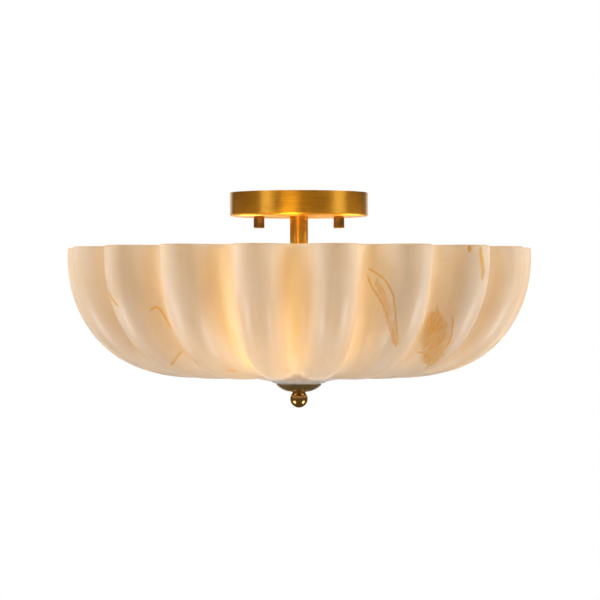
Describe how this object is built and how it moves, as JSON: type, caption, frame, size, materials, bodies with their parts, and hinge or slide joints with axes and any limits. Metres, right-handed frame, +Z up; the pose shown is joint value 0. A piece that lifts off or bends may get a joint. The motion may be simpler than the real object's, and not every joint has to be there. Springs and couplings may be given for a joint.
{
  "type": "semi-flush ceiling light",
  "caption": "Semi-flush ceiling light: brass canopy and short stem over a wide fluted bowl of marbled translucent resin, held from below by a cap and ball nut.",
  "frame": {"origin": "centre of the canopy's open back, in the plane of the ceiling", "axes": "+Z up, square to the ceiling; +X through the right-hand canopy nut; -Y towards the front, as pictured"},
  "size_m": [0.4062, 0.4014, 0.1882],
  "materials": {
    "brushed_brass": "brushed, lacquered",
    "polished_brass": "polished",
    "antique_brass": "antiqued",
    "zinc_steel": "zinc plated",
    "green_screw": "green passivated",
    "white_phenolic": "moulded",
    "lamp_shell": "rolled",
    "contact_brass": "stamped",
    "lamp_glass": "frosted white",
    "marbled_resin": "satin, amber veins, translucent",
    "rubber": "moulded",
    "clear_gasket": "silicone",
    "black_lead": "insulation",
    "white_lead": "insulation",
    "yellow_connector": "moulded"
  },
  "bodies": {
    "frame": {"mounting_bracket": "zinc_steel", "canopy_studs": "zinc_steel", "stud_lock_nuts": "zinc_steel", "ground_screw": "green_screw", "canopy_pan": "brushed_brass", "canopy_nipple": "zinc_steel", "canopy_lock_washer": "zinc_steel", "canopy_lock_nut": "zinc_steel", "stem_tube": "polished_brass", "centre_pipe": "zinc_steel", "lamp_hub": "brushed_brass", "lamp_hub_cover": "brushed_brass", "hub_upper_nut": "zinc_steel", "hub_lower_nut": "zinc_steel", "stop_nuts": "zinc_steel", "lead_live": "black_lead", "lead_neutral": "white_lead", "wire_connectors": "yellow_connector", "holder_arm_1": "zinc_steel", "lampholder_1": "white_phenolic", "screw_shell_1": "contact_brass", "centre_contact_1": "contact_brass", "holder_arm_2": "zinc_steel", "lampholder_2": "white_phenolic", "screw_shell_2": "contact_brass", "centre_contact_2": "contact_brass", "holder_arm_3": "zinc_steel", "lampholder_3": "white_phenolic", "screw_shell_3": "contact_brass", "centre_contact_3": "contact_brass"},
    "canopy_nut_left": {"canopy_nut_left": "antique_brass"},
    "canopy_nut_right": {"canopy_nut_right": "antique_brass"},
    "bowl_clamp": {"bottom_cap": "antique_brass", "cap_gasket": "clear_gasket", "seat_gasket": "rubber", "seat_washer": "zinc_steel"},
    "bowl": {"bowl_shade": "marbled_resin"},
    "ball_nut": {"ball_nut": "polished_brass"},
    "lamp_1": {"lamp_base_1": "lamp_shell", "lamp_globe_1": "lamp_glass"},
    "lamp_2": {"lamp_base_2": "lamp_shell", "lamp_globe_2": "lamp_glass"},
    "lamp_3": {"lamp_base_3": "lamp_shell", "lamp_globe_3": "lamp_glass"}
  },
  "joints": [
    {"name": "canopy_nut_left_turn", "type": "hinge", "parent": "frame", "child": "canopy_nut_left", "pos_m": [-0.035, 0, -0.0257], "axis": [0, 0, 1], "continuous": true},
    {"name": "canopy_nut_right_turn", "type": "hinge", "parent": "frame", "child": "canopy_nut_right", "pos_m": [0.035, 0, -0.0257], "axis": [0, 0, 1], "continuous": true},
    {"name": "bowl_lower", "type": "slide", "parent": "frame", "child": "bowl_clamp", "axis": [0, 0, -1], "range_m": [0, 0.005]},
    {"name": "bowl_turn", "type": "hinge", "parent": "bowl_clamp", "child": "bowl", "pos_m": [0, 0, -0.165], "axis": [0, 0, 1], "continuous": true},
    {"name": "ball_nut_turn", "type": "hinge", "parent": "bowl_clamp", "child": "ball_nut", "pos_m": [0, 0, -0.181], "axis": [0, 0, -1], "range_deg": [0, 1800]},
    {"name": "lamp_1_turn", "type": "hinge", "parent": "frame", "child": "lamp_1", "pos_m": [-0.01452, -0.05822, -0.0905], "axis": [-0.2419, -0.9703, 0], "range_deg": [0, 1080]},
    {"name": "lamp_2_turn", "type": "hinge", "parent": "frame", "child": "lamp_2", "pos_m": [0.05768, 0.01654, -0.0905], "axis": [0.9613, 0.2756, 0], "range_deg": [0, 1080]},
    {"name": "lamp_3_turn", "type": "hinge", "parent": "frame", "child": "lamp_3", "pos_m": [-0.04316, 0.04168, -0.0905], "axis": [-0.7193, 0.6947, 0], "range_deg": [0, 1080]}
  ],
  "couplings": [
    {"joint": "ball_nut_turn", "follows": "bowl_lower", "rad_per_m": 6283.2}
  ]
}
